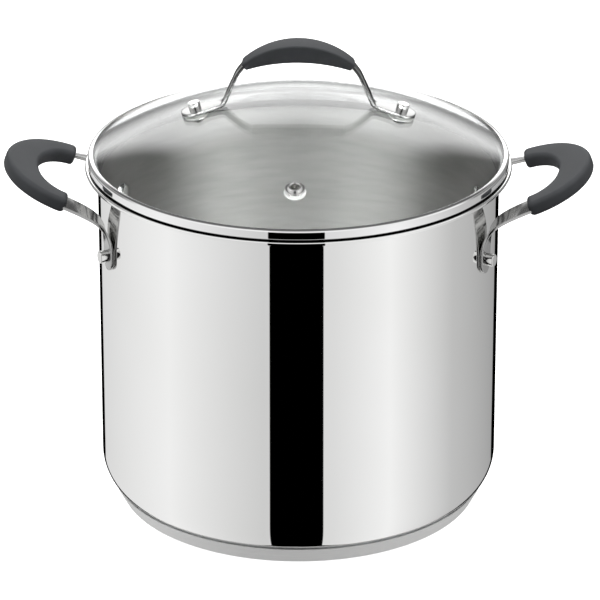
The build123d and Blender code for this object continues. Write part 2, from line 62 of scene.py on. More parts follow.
# ---- pot ----
SHEET = 1.0 * MM
POT_INNER = 130.0 * MM
POT_OUTER = POT_INNER + SHEET
FLOOR_TOP = FLOOR_UNDER + SHEET
CORNER = 24.0 * MM
FLARE_START = 226.0 * MM
HEM = 1.3 * MM
CAP_SHEET = 1.0 * MM
CAP_FOOT_RADIUS = 117.8 * MM
CAP_FOOT_ROUNDING = 4.0 * MM
CAP_RECESS_RADIUS = 98.0 * MM
CAP_RECESS = 0.4 * MM
SEAT_GAP = 0.05 * MM

# ---- lid ----
DOME_RADIUS = 275.0 * MM
GLASS = 4.0 * MM
DOME_CENTER = DOME_APEX - DOME_RADIUS
DOME_INNER = DOME_RADIUS - GLASS
BAND_SHEET = 0.8 * MM
BAND_CORNER = 2.3 * MM
PAINTED_SEAM_SHADE_HEIGHT = 1.6 * MM           # lowest part of the band, where shade is painted dark into its colour
# Painted shade: tones of the band's colour from its bottom edge up, standing in for the shadow in the
# gap over the rim.
PAINTED_SEAM_SHADE_TONES = [(0.0, 0.0612), (0.45, 0.1274), (1.0, 0.9387)]
BAND_LIP_RADIUS = 133.9 * MM
BAND_BOTTOM = RIM_TOP + 0.3 * MM
SKIRT_TOP_RADIUS = 130.1 * MM
SKIRT_RADIUS = 128.1 * MM
SKIRT_SHOULDER = 229.0 * MM
LID_RIVET_X = 66.4 * MM
LID_STRAP_WIDTH = 10.0 * MM
LID_STRAP_THICKNESS = 2.3 * MM
LID_STRAP_ROUNDING = 0.25 * MM
LID_PAD_RADIUS = 9.5 * MM
LID_PAD_TAPER = (3.0 * MM, 15.0 * MM)
FOOT_WASHER = 0.5 * MM
FOOT_WASHER_RADIUS = 8.3 * MM
LID_HEAD_RADIUS = 4.05 * MM
LID_HEAD = 4.4 * MM
LID_SHANK = 2.5 * MM
LID_SLEEVE = 4.0 * MM
LID_GASKET = 1.0 * MM
LID_GASKET_RADIUS = 8.0 * MM
LID_WASHER = 1.0 * MM
LID_WASHER_RADIUS = 7.0 * MM
LID_TAIL = 2.0 * MM
LID_TAIL_RADIUS = 4.5 * MM
LID_FOOT_RUN = 18.7 * MM
LEG_TOP = (39.7 * MM, 294.4 * MM)
GRIP_ENTRY = (33.3 * MM, 302.9 * MM)
STRAP_CROWN = (17.0 * MM, 309.3 * MM)
LID_GRIP_LOW = (34.3 * MM, 297.9 * MM)
LID_GRIP_HIGH = (36.5 * MM, 302.3 * MM)
LID_GRIP_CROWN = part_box("lid_handle_grip")[1].z
LID_GRIP_BELLY = 304.3 * MM
LID_GRIP_WIDTH = 17.6 * MM
LID_GRIP_END_WIDTH = 12.4 * MM
LID_GRIP_ROUNDING = 1.2 * MM

# ---- steam vent ----
VENT_Y = -103.0 * MM
VENT_HOLE = 3.0 * MM
VENT_TUBE = 3.7 * MM
VENT_FLANGE_RADIUS = 6.5 * MM
VENT_FLANGE = 1.0 * MM
VENT_COLLAR_RADIUS = 4.7 * MM
VENT_COLLAR_TOP = 2.7 * MM
VENT_SLEEVE = 4.8 * MM
VENT_GASKET = 0.9 * MM
VENT_GASKET_RADIUS = 7.0 * MM
VENT_WASHER = 0.8 * MM
VENT_WASHER_RADIUS = 6.5 * MM
VENT_ROLL = 0.8 * MM
VENT_ROLL_RADIUS = 5.0 * MM

# ---- side handles ----
FOOT_ANGLE = radians(23.2)
FOOT_RIVET_Z = 187.0 * MM
FOOT_END_Z = 177.5 * MM
FOOT_TOP_Z = 192.0 * MM
STRAP = 2.2 * MM
STRAP_FOOT_WIDTH = 13.5 * MM
STRAP_GRIP_WIDTH = 12.4 * MM
STRAP_ROUNDING = 0.5 * MM
LEG_RISE = 20.5 * MM
LEG_REACH = 24.0 * MM
LEG_LEAN = 1.5 * MM
LEG_TWIST = radians(-16)
GRIP_START = Vector((149.0 * MM, 0, 219.2 * MM))
GRIP_SLOPE = atan(0.37)
GRIP_THICKNESS = 10.0 * MM
GRIP_OUTER = (42.5 * MM, 49.2 * MM)
GRIP_INNER = (21.5 * MM, 34.0 * MM)
GRIP_CORE = (32.0 * MM, 41.6 * MM)
CORE_START = radians(80)
GRIP_ROUNDING = 3.2 * MM
RIVET_SHANK = 3.2 * MM
RIVET_HEAD_RADIUS = 4.15 * MM
RIVET_HEAD = 5.6 * MM
RIVET_TAIL_RADIUS = 9.5 * MM
RIVET_TAIL = 4.6 * MM
RIVET_TAIL_EDGE = 0.6 * MM

# ---- jar rack ----
RING_WIRE = 5.0 * MM
RING_RADIUS = RACK_RADIUS - RING_WIRE / 2
RING_Z = 24.0 * MM
RACK_WIRE = 4.0 * MM
RACK_PITCH = 24.0 * MM
RACK_PAIRS = 4
RACK_BAR_X = 48.0 * MM
RACK_LEGS = 4
LEG_SPAN = 34.0 * MM
LEG_BEND = 5.0 * MM
WELD = 1.1 * MM

# ---- camera and studio ----
CAMERA_DISTANCE = 2.901
CAMERA_ELEVATION = radians(23.46)
CAMERA_TURN = radians(1.2)
CAMERA_AIM = Vector((1.0 * MM, 0, 134.5 * MM))
CAMERA_LENS = 263.3
FLOOR_SIZE = 12.0
FLOOR_GLOW = 0.7
LIGHT_BEHIND = 2.0              # strength of the light panel behind the pot
LIGHT_INTO_POT = 42.0           # strength of the light that comes in through the glass
SOFT_LIGHT = 1.9                # strength of the light on dull surfaces
DOME_VIEW = 0.58                # level seen through the glass below the horizon, past the floor

# The studio, as light levels where 1 shows as white.  Angles are in degrees to the left (-) or right
# of the camera, and heights go from -1, straight down, to 1, straight up.
# Upright surfaces mirror a softbox on each side of a black panel, by the angle they face.
SIDE_PANELS = [(-90, 0.65), (-40, 0.92), (-10, 0.65), (10, 0.75), (27, 0.94), (50, 0.55), (90, 0.28)]
BLACK_STRIP = (-8.2, 7.12)      # from the left to the right edge of the black panel
BLACK_BEHIND = (-158.5, 156.8)  # the backdrop ends here, so the outlines of the pot mirror black
EDGE_BLUR = 0.1                 # half the width of those edges, in degrees
# Surfaces that face up mirror these, by the height of the way they face.
TOP_PANEL = [(0.68, 0.9), (0.86, 0.9), (0.92, 0.15), (1.0, 0.15)]
TOP_SIDE_PANELS = [
    (0.68, 0.02), (0.71, 0.02), (0.74, 0.4), (0.79, 0.4), (0.82, 0.1), (0.88, 0.5), (0.92, 0.1),
]
TOP_BACK_PANEL = [(0.68, 0.95), (0.97, 0.95), (1.0, 0.5)]
TOP_BLEND = 0.06                # height over which the side panels give way to the top ones
TOP_SIDES_FROM = (50, 58)       # angles over which the front top panel gives way to the side ones
TOP_BACK_FROM = (110, 130)      # and those to the back one
# The panel behind the pot: its light by height, then where it starts and where it is full, by the
# angle to either side and by height, at the bottom and at the top.
BEHIND_LEVELS = [(-0.15, 0.1), (0.04, 0.25), (0.2, 1.0), (0.5, 0.85), (0.68, 0.0)]
BEHIND_FROM = (154.8, 160.2)
BEHIND_BOTTOM = (-0.15, -0.05)
BEHIND_TOP = (0.70, 0.66)
# Share of the light that comes in through the glass, by its angle to either side and by its height.
POT_PANELS = [(0, 0.11), (52, 0.72), (80, 0.06), (98, 0.0)]
POT_LEVELS = [(-0.05, 0.12), (0.0, 1.0), (0.14, 0.4)]
# Light on dull surfaces, by height.
SOFT_LEVELS = [(-1.0, 0.01), (0.0, 0.03), (0.2, 0.15), (0.6, 0.7), (1.0, 1.1)]

BIG_LATHE = 256
SMALL_LATHE = 48


# ---------------------------------------------------------------- mesh tools


class Shape:
    """Points and faces that gather into one mesh; a look is the number of a face's material."""

    def __init__(self):
        self.points = []
        self.faces = []
        self.looks = []

    def skin(self, rings, look=0, loop=False, capped=False):
        """Joins neighbouring rings with faces.  A ring of one point is a pole."""
        starts = []
        for ring in rings:
            starts.append(len(self.points))
            self.points.extend(ring)
        pairs = [(i, i + 1) for i in range(len(rings) - 1)]
        if loop:
            pairs.append((len(rings) - 1, 0))
        for number, (a, b) in enumerate(pairs):
            this_look = look[number] if isinstance(look, list) else look
            count = max(len(rings[a]), len(rings[b]))
            for i in range(count):
                j = (i + 1) % count
                if len(rings[a]) == 1:
                    face = (starts[a], starts[b] + j, starts[b] + i)
                elif len(rings[b]) == 1:
                    face = (starts[a] + i, starts[a] + j, starts[b])
                else:
                    face = (starts[a] + i, starts[a] + j, starts[b] + j, starts[b] + i)
                self.faces.append(face)
                self.looks.append(this_look)
        if capped:
            for start, ring in ((starts[0], rings[0]), (starts[-1], rings[-1])):
                self.faces.append(tuple(range(start, start + len(ring))))
                self.looks.append(0)

    def lathe(self, outline, segments=SMALL_LATHE, at=Matrix.Identity(4), look=0, loop=False):
        """Turns an (r, z) outline about the z axis of a frame."""
        rings = []
        for radius, height in outline:
            if radius < SEAT_GAP:
                rings.append([at @ Vector((0, 0, height))])
                continue
            turns = [2 * pi * i / segments for i in range(segments)]
            rings.append([at @ Vector((radius * cos(t), radius * sin(t), height)) for t in turns])
        self.skin(rings, look, loop)


def make_piece(node, body, shape, materials, sharp=38):
    """One mesh object that stands for a CAD node and rides with its body."""
    mesh = bpy.data.meshes.new(node + "_look")
    mesh.from_pydata(shape.points, [], shape.faces)
    mesh.polygons.foreach_set("material_index", shape.looks)
    tidy = bmesh.new()
    tidy.from_mesh(mesh)
    bmesh.ops.recalc_face_normals(tidy, faces=tidy.faces)
    tidy.to_mesh(mesh)
    tidy.free()
    mesh.polygons.foreach_set("use_smooth", [True] * len(mesh.polygons))
    mesh.set_sharp_from_angle(angle=radians(sharp))
    piece = bpy.data.objects.new(node + "_look", mesh)
    bpy.context.scene.collection.objects.link(piece)
    for material in materials:
        mesh.materials.append(material)
    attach(piece, body)
    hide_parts(node)
    return piece


def arc(center, radius, start, end, steps=12):
    """Points along an arc in an r-z plane, angles in degrees from +r."""
    turns = [radians(start + (end - start) * i / steps) for i in range(steps + 1)]
    return [(center[0] + radius * cos(t), center[1] + radius * sin(t)) for t in turns]


def supported(a, b, margin=0.6 * MM):
    """A straight run with a point close to each end, so that shading stays flat between."""
    a, b = Vector(a), Vector(b)
    step = (b - a).normalized() * margin
    return [tuple(a + step), tuple(b - step)]


def rounded(points, radii, steps=5):
    """An open outline with its inner corners rounded to tangent arcs."""
    points = [Vector(p) for p in points]
    result = [points[0]]
    for before, corner, after, radius in zip(points, points[1:], points[2:], radii):
        back = (before - corner).normalized()
        ahead = (after - corner).normalized()
        half = back.angle(ahead) / 2
        if radius <= 0 or half > pi / 2 - 0.01:
            result.append(corner)
            continue
        center = corner + (back + ahead).normalized() * (radius / sin(half))
        reach = radius / tan(half)
        first = corner + back * reach - center
        last = corner + ahead * reach - center
        sweep = first.angle_signed(last)
        for i in range(steps + 1):
            turn = Matrix.Rotation(-sweep * i / steps, 2)
            result.append(center + turn @ first)
    result.append(points[-1])
    return [tuple(p) for p in result]


def rounded_box(half_width, half_height, rounding, steps=4):
    """Section across a bar: a rectangle with rounded corners, as points in its own plane."""
    rounding = min(rounding, half_width * 0.98, half_height * 0.98)
    section = []
    for corner in range(4):
        x_side = 1 if corner in (0, 3) else -1
        y_side = 1 if corner in (0, 1) else -1
        center = (x_side * (half_width - rounding), y_side * (half_height - rounding))
        section += arc(center, rounding, 90 * corner, 90 * corner + 90, steps)
    return section


def on_frame(origin, x_dir, z_dir):
    """Frame with the given x and z directions."""
    y_dir = z_dir.cross(x_dir)
    turn = Matrix((x_dir, y_dir, z_dir)).transposed()
    return Matrix.Translation(origin) @ turn.to_4x4()


def end_inset(distance, radius):
    """How far a face draws in near an end that is rounded to a radius."""
    if distance >= radius:
        return 0.0
    return radius - sqrt(max(radius**2 - (radius - distance) ** 2, 0))


def washer_outline(hole, radius, low, high, rounding):
    """Closed r-z outline of a washer with its outer edges softened."""
    corners = [(hole, low), (radius, low), (radius, high), (hole, high)]
    return rounded(corners, [rounding, rounding], 3)


# ---------------------------------------------------------------- material tools


class Nodes:
    """A short way to write a node tree."""

    def __init__(self, tree):
        self.tree = tree
        tree.nodes.clear()

    def add(self, kind, inputs=None, **settings):
        node = self.tree.nodes.new(kind)
        for name, value in settings.items():
            setattr(node, name, value)
        for name, value in (inputs or {}).items():
            if isinstance(value, bpy.types.NodeSocket):
                self.tree.links.new(value, node.inputs[name])
            else:
                node.inputs[name].default_value = value
        return node

    def math(self, operation, a, b=0.0):
        return self.add("ShaderNodeMath", {0: a, 1: b}, operation=operation).outputs[0]

    def ramp(self, fac, stops):
        """Colour ramp from (position, grey or colour) stops."""
        node = self.add("ShaderNodeValToRGB", {"Fac": fac})
        elements = node.color_ramp.elements
        while len(elements) < len(stops):
            elements.new(0.5)
        for element, (position, value) in zip(elements, stops):
            element.position = position
            element.color = (*value, 1) if isinstance(value, tuple) else (value, value, value, 1)
        return node.outputs["Color"]

    def span(self, value, low, high):
        """A 0 to 1 value spread between two numbers."""
        return self.add("ShaderNodeMapRange", {"Value": value, "To Min": low, "To Max": high}).outputs[0]

    def place(self):
        return self.add("ShaderNodeTexCoord").outputs["Object"]

    def stretched_noise(self, scale, detail=3.0):
        """Noise with its own scale along each axis of the object."""
        mapping = self.add("ShaderNodeMapping", {"Vector": self.place(), "Scale": scale})
        return self.noise(mapping.outputs[0], 1.0, detail)

    def noise(self, where, scale, detail=2.0):
        inputs = {"Vector": where, "Scale": scale, "Detail": detail}
        return self.add("ShaderNodeTexNoise", inputs).outputs["Fac"]

    def bump(self, height, distance, strength=1.0):
        inputs = {"Height": height, "Distance": distance, "Strength": strength}
        return self.add("ShaderNodeBump", inputs).outputs[0]

    def surface(self, inputs):
        """Principled surface wired to the output."""
        shader = self.add("ShaderNodeBsdfPrincipled", inputs)
        self.add("ShaderNodeOutputMaterial", {"Surface": shader.outputs[0]})


def new_material(name):
    material = bpy.data.materials.new(name)
    material.use_nodes = True
    return material, Nodes(material.node_tree)


def polished_steel():
    """Mirror finish with faint polishing streaks and a slight change of tone."""
    material, nodes = new_material("polished_steel")
    streaks = nodes.stretched_noise((30, 30, 900))
    haze = nodes.stretched_noise((9, 9, 9), 2.0)
    color = nodes.ramp(haze, [(0.3, (0.915, 0.915, 0.905)), (0.7, (0.94, 0.94, 0.935))])
    nodes.surface({
        "Base Color": color,
        "Metallic": 1.0,
        "Roughness": nodes.span(streaks, 0.0, 0.03),
        "Normal": nodes.bump(streaks, 0.002 * MM),
    })
    return material


def band_steel():
    """The polished finish, with shade painted into its colour: dark at the bottom edge, where the band
    turns in over the pot rim, rising to full tone above.
    """
    material, nodes = new_material("band_steel")
    streaks = nodes.stretched_noise((30, 30, 900))
    height = nodes.add("ShaderNodeSeparateXYZ", {0: nodes.place()}).outputs["Z"]
    # painted shade: 0 at the band's bottom edge, 1 where the painted shade ends
    painted_seam_shade = nodes.add("ShaderNodeMapRange", {
        "Value": height, "From Min": BAND_BOTTOM, "From Max": BAND_BOTTOM + PAINTED_SEAM_SHADE_HEIGHT,
    }).outputs[0]
    nodes.surface({
        "Base Color": nodes.ramp(painted_seam_shade, PAINTED_SEAM_SHADE_TONES),
        "Metallic": 1.0,
        "Roughness": nodes.span(streaks, 0.0, 0.03),
        "Normal": nodes.bump(streaks, 0.002 * MM),
    })
    return material


def brushed_inside():
    """Fine lines round the inside of the pot, which smear reflections upright."""
    material, nodes = new_material("brushed_inside")
    lines = nodes.stretched_noise((14, 14, 2600), 4.0)
    bands = nodes.stretched_noise((40, 40, 260), 3.0)
    color = nodes.ramp(bands, [(0.3, (0.56, 0.555, 0.54)), (0.7, (0.62, 0.615, 0.60))])
    tangent = nodes.add("ShaderNodeTangent", direction_type="RADIAL", axis="Z").outputs[0]
    nodes.surface({
        "Base Color": color,
        "Metallic": 1.0,
        "Roughness": nodes.span(lines, 0.54, 0.64),
        "Anisotropic": 1.0,
        "Anisotropic Rotation": 0.25,
        "Tangent": tangent,
        "Normal": nodes.bump(lines, 0.02 * MM, 0.35),
    })
    return material


def satin_steel():
    """Satin base: lines that run round the side and in circles on the underside."""
    material, nodes = new_material("satin_steel")
    parts = nodes.add("ShaderNodeSeparateXYZ", {0: nodes.place()})
    flat = nodes.add("ShaderNodeCombineXYZ", {"X": parts.outputs["X"], "Y": parts.outputs["Y"]})
    radius = nodes.add("ShaderNodeVectorMath", {0: flat.outputs[0]}, operation="LENGTH").outputs["Value"]
    outward = nodes.math("MULTIPLY", radius, 2200)
    upward = nodes.math("MULTIPLY", parts.outputs["Z"], 2600)
    across = nodes.math("ADD", outward, upward)
    along = nodes.math("MULTIPLY", parts.outputs["X"], 20)
    beside = nodes.math("MULTIPLY", parts.outputs["Y"], 20)
    where = nodes.add("ShaderNodeCombineXYZ", {"X": across, "Y": along, "Z": beside}).outputs[0]
    lines = nodes.noise(where, 1.0, 4.0)
    color = nodes.ramp(lines, [(0.3, (0.88, 0.88, 0.875)), (0.7, (0.95, 0.95, 0.945))])
    nodes.surface({
        "Base Color": color,
        "Metallic": 1.0,
        "Roughness": nodes.span(lines, 0.74, 0.84),
        "Normal": nodes.bump(lines, 0.015 * MM, 0.4),
    })
    return material


def drawn_steel(name, tone, rough, scale):
    """Tumbled or drawn steel: soft mottling under a fine grain."""
    material, nodes = new_material(name)
    grain = nodes.stretched_noise(scale, 4.0)
    mottle = nodes.stretched_noise((220, 220, 220), 3.0)
    color = nodes.ramp(mottle, [(0.3, tuple(0.93 * c for c in tone)), (0.7, tone)])
    nodes.surface({
        "Base Color": color,
        "Metallic": 1.0,
        "Roughness": nodes.span(grain, rough[0], rough[1]),
        "Normal": nodes.bump(mottle, 0.02 * MM, 0.5),
    })
    return material


def grip_polymer():
    """Charcoal polymer with a fine spark-eroded grain and slight handling sheen."""
    material, nodes = new_material("grip_polymer")
    grain = nodes.noise(nodes.place(), 1900.0, 3.0)
    cloud = nodes.stretched_noise((60, 60, 60), 2.0)
    color = nodes.ramp(cloud, [(0.3, (0.050, 0.053, 0.057)), (0.7, (0.064, 0.067, 0.072))])
    nodes.surface({
        "Base Color": color,
        "Roughness": nodes.span(cloud, 0.50, 0.64),
        "Specular IOR Level": 0.2,
        "Normal": nodes.bump(grain, 0.05 * MM, 0.5),
    })
    return material


def tempered_glass():
    """Clear glass, a trace of green-grey, with the soft waviness of tempering."""
    material, nodes = new_material("tempered_glass")
    wave = nodes.stretched_noise((12, 12, 12), 1.0)
    nodes.surface({
        "Base Color": (0.955, 0.97, 0.965, 1),
        "Roughness": 0.0,
        "IOR": 1.5,
        "Transmission Weight": 1.0,
        "Normal": nodes.bump(wave, 0.02 * MM, 0.5),
    })
    return material


def silicone():
    """Milky rubber with a dusty surface."""
    material, nodes = new_material("silicone")
    dust = nodes.noise(nodes.place(), 900.0)
    color = nodes.ramp(dust, [(0.3, (0.66, 0.66, 0.64)), (0.7, (0.76, 0.76, 0.74))])
    nodes.surface({
        "Base Color": color,
        "Roughness": nodes.span(dust, 0.42, 0.6),
        "Subsurface Weight": 0.3,
        "Subsurface Radius": (2 * MM, 2 * MM, 2 * MM),
        "Subsurface Scale": 1.0,
    })
    return material


def core_aluminium():
    """Rolled aluminium with straight mill lines."""
    material, nodes = new_material("core_aluminium")
    lines = nodes.stretched_noise((900, 25, 25), 3.0)
    color = nodes.ramp(lines, [(0.3, (0.70, 0.71, 0.72)), (0.7, (0.78, 0.79, 0.80))])
    nodes.surface({"Base Color": color, "Metallic": 1.0, "Roughness": nodes.span(lines, 0.3, 0.45)})
    return material


polished = polished_steel()
band = band_steel()
brushed = brushed_inside()
satin = satin_steel()
strap_steel = drawn_steel("strap_steel", (0.52, 0.52, 0.515), (0.12, 0.22), (300, 300, 300))
rivet_steel = drawn_steel("rivet_steel", (0.86, 0.86, 0.85), (0.06, 0.14), (500, 500, 500))
wire_steel = drawn_steel("wire_steel", (0.78, 0.78, 0.77), (0.12, 0.24), (400, 400, 400))
polymer = grip_polymer()
glass = tempered_glass()
rubber = silicone()
aluminium = core_aluminium()


# ---------------------------------------------------------------- pot


def build_pot_shell():
    """Drawn sheet: brushed inside up to the flare, polished from the rim to the underside."""
    corner = (POT_INNER - CORNER, FLOOR_TOP + CORNER)
    flare_radius = RIM_TOP - FLARE_START
    flare = (POT_INNER + flare_radius, FLARE_START)
    hem = (RIM_RADIUS - HEM, RIM_TOP - HEM)
    inside = [(0, FLOOR_TOP), (POT_INNER * 0.5, FLOOR_TOP)]
    inside += arc(corner, CORNER, -90, 0, 20)
    inside += supported((POT_INNER, corner[1]), (POT_INNER, FLARE_START))
    brushed_rows = len(inside)
    outside = arc(flare, flare_radius, 180, 90, 12)
    outside += arc(hem, HEM, 90, -90, 10)
    hem_root = 130
    outside += arc(flare, flare_radius - SHEET, hem_root, 180, 6)
    outside += supported((POT_OUTER, FLARE_START), (POT_OUTER, corner[1]))
    outside += arc(corner, CORNER + SHEET, 0, -90, 20)
    outside += [(0, FLOOR_TOP - SHEET)]
    outline = inside + outside
    looks = [1] * brushed_rows + [0] * (len(outline) - 1 - brushed_rows)
    shape = Shape()
    shape.lathe(outline, BIG_LATHE, look=looks)
    make_piece("pot_shell", "pot", shape, [polished, brushed])


def build_base_cap():
    """Satin cup under the pot, its underside slightly recessed inside a standing ring."""
    top = (CAP_RADIUS, CAP_TOP)
    seat_radius = POT_INNER - CORNER + sqrt((CORNER + SHEET) ** 2 - (FLOOR_TOP + CORNER - CAP_TOP) ** 2)
    tilt = (CAP_RADIUS - CAP_FOOT_RADIUS) / CAP_TOP
    skin_gap = CAP_SHEET * sqrt(1 + tilt * tilt)
    corners = [
        (0, CAP_RECESS),
        (CAP_RECESS_RADIUS, CAP_RECESS),
        (CAP_RECESS_RADIUS + 1.2 * MM, 0),
        (CAP_FOOT_RADIUS, 0),
        top,
        (seat_radius + SEAT_GAP, CAP_TOP),
        (CAP_FOOT_RADIUS - skin_gap, CAP_RECESS + CAP_SHEET),
        (0, CAP_RECESS + CAP_SHEET),
    ]
    radii = [0.8 * MM, 0.8 * MM, CAP_FOOT_ROUNDING, 0.45 * MM, 0, 1.0 * MM]
    shape = Shape()
    shape.lathe(rounded(corners, radii, 8), BIG_LATHE)
    make_piece("base_cap", "pot", shape, [satin])


# ---------------------------------------------------------------- side handles


def rivet_frame(side, turn):
    """Frame on the pot wall at a handle foot, its z straight out of the wall."""
    angle = FOOT_ANGLE * turn
    out = Vector((side * cos(angle), sin(angle), 0))
    along = Vector((0, 0, 1)).cross(out)
    return on_frame(out * POT_OUTER + Vector((0, 0, FOOT_RIVET_Z)), along, out)


def grip_point(half_axes, phi):
    """Point on an ellipse in the sloping plane of the right grip."""
    x_dir = Vector((cos(GRIP_SLOPE), 0, sin(GRIP_SLOPE)))
    outward = x_dir * (half_axes[0] * cos(phi) / cos(GRIP_SLOPE))
    return GRIP_START + outward + Vector((0, half_axes[1] * sin(phi), 0))


def grip_up():
    return Vector((-sin(GRIP_SLOPE), 0, cos(GRIP_SLOPE)))


def core_station(phi):
    """Centre, direction and width direction of the strap inside the grip."""
    along = (grip_point(GRIP_CORE, phi - 0.01) - grip_point(GRIP_CORE, phi + 0.01)).normalized()
    twist = Matrix.Rotation(LEG_TWIST * phi / CORE_START, 3, along)
    return grip_point(GRIP_CORE, phi), along, twist @ grip_up().cross(along)


def strap_stations():
    """Stations (centre, along, across, half width) from the foot tip to the middle of the loop."""
    foot = rivet_frame(1, 1)
    side_way, out = foot.col[0].xyz, foot.col[2].xyz
    wall = out * (POT_OUTER + SEAT_GAP + STRAP / 2)
    radius = STRAP_FOOT_WIDTH / 2
    stations = []
    tip_steps = 10
    for i in range(tip_steps + 1):
        rise = radius * (1 - cos(pi / 2 * i / tip_steps))
        half = radius * sin(pi / 2 * max(i, 0.6) / tip_steps)
        stations.append((wall + Vector((0, 0, FOOT_END_Z + rise)), Vector((0, 0, 1)), side_way, half))
    stations.append((wall + Vector((0, 0, FOOT_TOP_Z - 2 * MM)), Vector((0, 0, 1)), side_way, radius))
    end, ahead, end_across = core_station(CORE_START)
    start = wall + Vector((0, 0, FOOT_TOP_Z))
    controls = [start, start + Vector((0, 0, LEG_RISE)) + out * LEG_LEAN, end - ahead * LEG_REACH, end]
    leg_steps = 28
    for i in range(leg_steps):
        t = i / leg_steps
        s = 1 - t
        point = (controls[0] * s**3 + controls[1] * (3 * s * s * t)
                 + controls[2] * (3 * s * t * t) + controls[3] * t**3)
        along = ((controls[1] - controls[0]) * (s * s) + (controls[2] - controls[1]) * (2 * s * t)
                 + (controls[3] - controls[2]) * (t * t)).normalized()
        across = side_way * s + end_across * t
        half = (STRAP_FOOT_WIDTH * s + STRAP_GRIP_WIDTH * t) / 2
        stations.append((point, along, across, half))
    loop_steps = 16
    for i in range(loop_steps + 1):
        stations.append((*core_station(CORE_START * (1 - i / loop_steps)), STRAP_GRIP_WIDTH / 2))
    return stations


def mirrored(point, side=1, turn=1):
    return Vector((point.x * side, point.y * turn, point.z))


def strap_rings(stations):
    rings = []
    for point, along, across, half in stations:
        across = (across - along * across.dot(along)).normalized()
        up = along.cross(across)
        section = rounded_box(half, STRAP / 2, STRAP_ROUNDING)
        rings.append([point + across * x + up * y for x, y in section])
    return rings


def build_side_strap(side, name):
    """Bent strap with two riveted feet; the far half mirrors the near one."""
    half = strap_rings(strap_stations())
    other = [[mirrored(p, 1, -1) for p in ring] for ring in reversed(half[:-1])]
    rings = [[mirrored(p, side, 1) for p in ring] for ring in half + other]
    shape = Shape()
    shape.skin(rings, capped=True)
    make_piece(name + "_handle_strap", "pot", shape, [strap_steel])


def build_side_grip(side, name):
    """Half ring with soft edges, the same section all the way but wider in the middle."""
    up = grip_up()
    steps = 72
    rings = []
    ends = [0.0, 0.12, 0.3, 0.55, 0.8, 1.0]
    end_turn = GRIP_ROUNDING / GRIP_CORE[0] * 0.93
    near = [-pi / 2 + end_turn * e for e in ends]
    far = [-t for t in reversed(near)]
    middle = [near[-1] + (far[0] - near[-1]) * i / steps for i in range(1, steps)]
    for phi in near + middle + far:
        inner, outer = grip_point(GRIP_INNER, phi), grip_point(GRIP_OUTER, phi)
        from_end = (grip_point(GRIP_CORE, phi).x - GRIP_START.x) / cos(GRIP_SLOPE)
        inset = end_inset(from_end, GRIP_ROUNDING)
        across = (outer - inner).normalized()
        half = (outer - inner).length / 2 - inset
        section = rounded_box(half, GRIP_THICKNESS / 2 - inset, max(GRIP_ROUNDING - inset, 0.3 * MM), 6)
        center = (inner + outer) / 2
        rings.append([mirrored(center + across * x + up * y, side) for x, y in section])
    shape = Shape()
    shape.skin(rings, capped=True)
    make_piece(name + "_handle_grip", "pot", shape, [polymer])


def build_side_rivets(side, name):
    """Solid rivets: tall flat head outside, low dome inside."""
    face = SEAT_GAP + STRAP
    inner = -SHEET - RIVET_TAIL_RADIUS**2 / (2 * POT_INNER) - SEAT_GAP
    dome = []
    for i in range(13):
        turn = pi / 2 * i / 12
        height = RIVET_TAIL_EDGE + (RIVET_TAIL - RIVET_TAIL_EDGE) * cos(turn)
        dome.append((RIVET_TAIL_RADIUS * sin(turn), inner - height))
    corners = [
        (RIVET_TAIL_RADIUS, inner - RIVET_TAIL_EDGE),
        (RIVET_TAIL_RADIUS, inner),
        (RIVET_SHANK, inner),
        (RIVET_SHANK, face + SEAT_GAP),
        (RIVET_HEAD_RADIUS, face + SEAT_GAP),
        (RIVET_HEAD_RADIUS, face + RIVET_HEAD),
        (0, face + RIVET_HEAD),
    ]
    outline = dome[:-1] + rounded(corners, [0.2 * MM, 0, 0, 0.1 * MM, 0.6 * MM], 6)
    shape = Shape()
    for turn in (1, -1):
        shape.lathe(outline, at=rivet_frame(side, turn))
    make_piece(name + "_handle_rivets", "pot", shape, [rivet_steel])


# ---------------------------------------------------------------- lid


def dome_height(radius, sphere=DOME_RADIUS):
    return DOME_CENTER + sqrt(sphere**2 - radius**2)


def dome_frame(x, y):
    """Frame on top of the glass, its z straight out of the dome, its x pointing up the slope."""
    foot = Vector((x, y, dome_height(sqrt(x * x + y * y))))
    normal = (foot - Vector((0, 0, DOME_CENTER))).normalized()
    inward = Vector((-x, -y, 0)).normalized()
    along = (inward - normal * inward.dot(normal)).normalized()
    return on_frame(foot, along, normal)


def lid_rivet_frames():
    return [dome_frame(side * LID_RIVET_X, 0) for side in (-1, 1)]


def under_glass(radius):
    """Height, below the outer surface, where a flat washer clears the hollow side of the dome."""
    return -GLASS - radius**2 / (2 * DOME_INNER) - SEAT_GAP


def foot_base():
    return 2 * SEAT_GAP + FOOT_WASHER


def drill(piece, frames_and_radii):
    """Cuts round holes through a piece and keeps the result as its mesh."""
    drills = Shape()
    reach = 12 * MM
    for at, radius in frames_and_radii:
        drills.lathe([(0, -reach), (radius, -reach), (radius, reach), (0, reach)], 64, at)
    mesh = bpy.data.meshes.new("drills")
    mesh.from_pydata(drills.points, [], drills.faces)
    tool = bpy.data.objects.new("drills", mesh)
    bpy.context.scene.collection.objects.link(tool)
    cut = piece.modifiers.new("holes", "BOOLEAN")
    cut.operation = "DIFFERENCE"
    cut.solver = "EXACT"
    cut.object = tool
    graph = bpy.context.evaluated_depsgraph_get()
    piece.data = bpy.data.meshes.new_from_object(piece.evaluated_get(graph))
    piece.modifiers.clear()
    bpy.data.objects.remove(tool)


